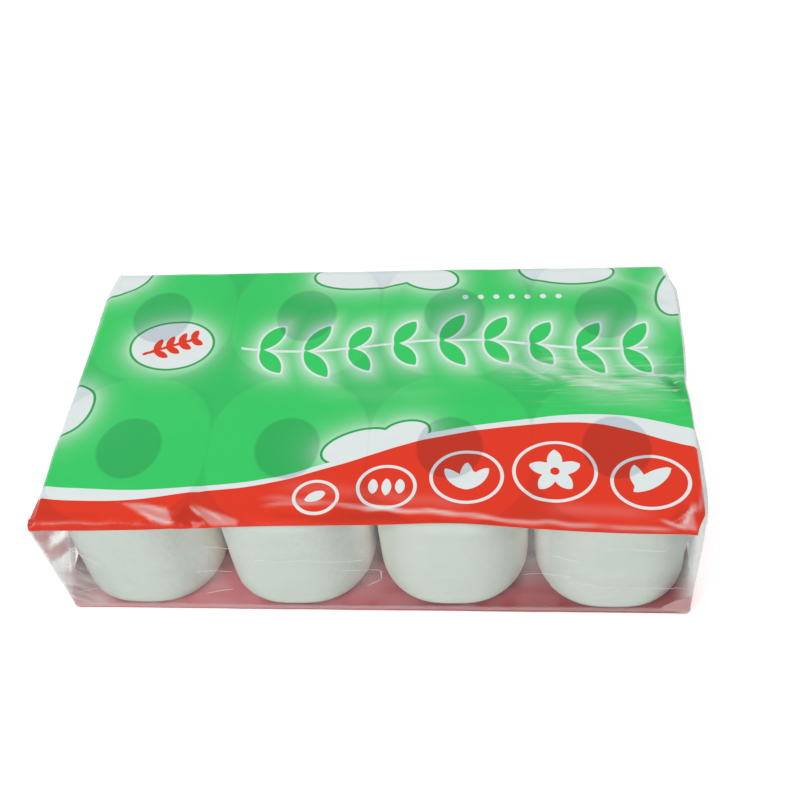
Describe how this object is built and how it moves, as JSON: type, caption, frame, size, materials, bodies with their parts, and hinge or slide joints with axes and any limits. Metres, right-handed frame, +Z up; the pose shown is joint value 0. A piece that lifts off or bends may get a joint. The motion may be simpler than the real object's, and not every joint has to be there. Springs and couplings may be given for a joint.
{
  "type": "toilet paper roll pack",
  "caption": "Long low pack of upright toilet paper rolls in two rows, sealed in film with a green and red printed top, clear long sides and folded, welded ends.",
  "frame": {"origin": "middle of the underside, on the surface that the pack stands on", "axes": "+X along the rows of four rolls, +Y from the clear front side to the back, +Z up along the rolls' tubes"},
  "size_m": [0.4244, 0.2324, 0.0998],
  "materials": {
    "clear_film": "thin glossy polythene film, clear on the long sides and milky at the folded ends",
    "green_print": "glossy green print on film",
    "white_print": "glossy white print on film",
    "red_print": "glossy red print on film",
    "paper": "soft embossed two-ply tissue, matt, slightly grey",
    "card": "grey-brown wound cardboard, matt"
  },
  "bodies": {
    "root": {"film_wrapper": "clear_film", "print_green_field": "green_print", "print_white_plate": "white_print", "print_white_wave": "white_print", "print_red_band": "red_print", "print_underside": "red_print", "paper_roll_front_1": "paper", "paper_roll_front_2": "paper", "paper_roll_front_3": "paper", "paper_roll_front_4": "paper", "paper_roll_back_1": "paper", "paper_roll_back_2": "paper", "paper_roll_back_3": "paper", "paper_roll_back_4": "paper", "core_tube_front_1": "card", "core_tube_front_2": "card", "core_tube_front_3": "card", "core_tube_front_4": "card", "core_tube_back_1": "card", "core_tube_back_2": "card", "core_tube_back_3": "card", "core_tube_back_4": "card"}
  },
  "joints": []
}
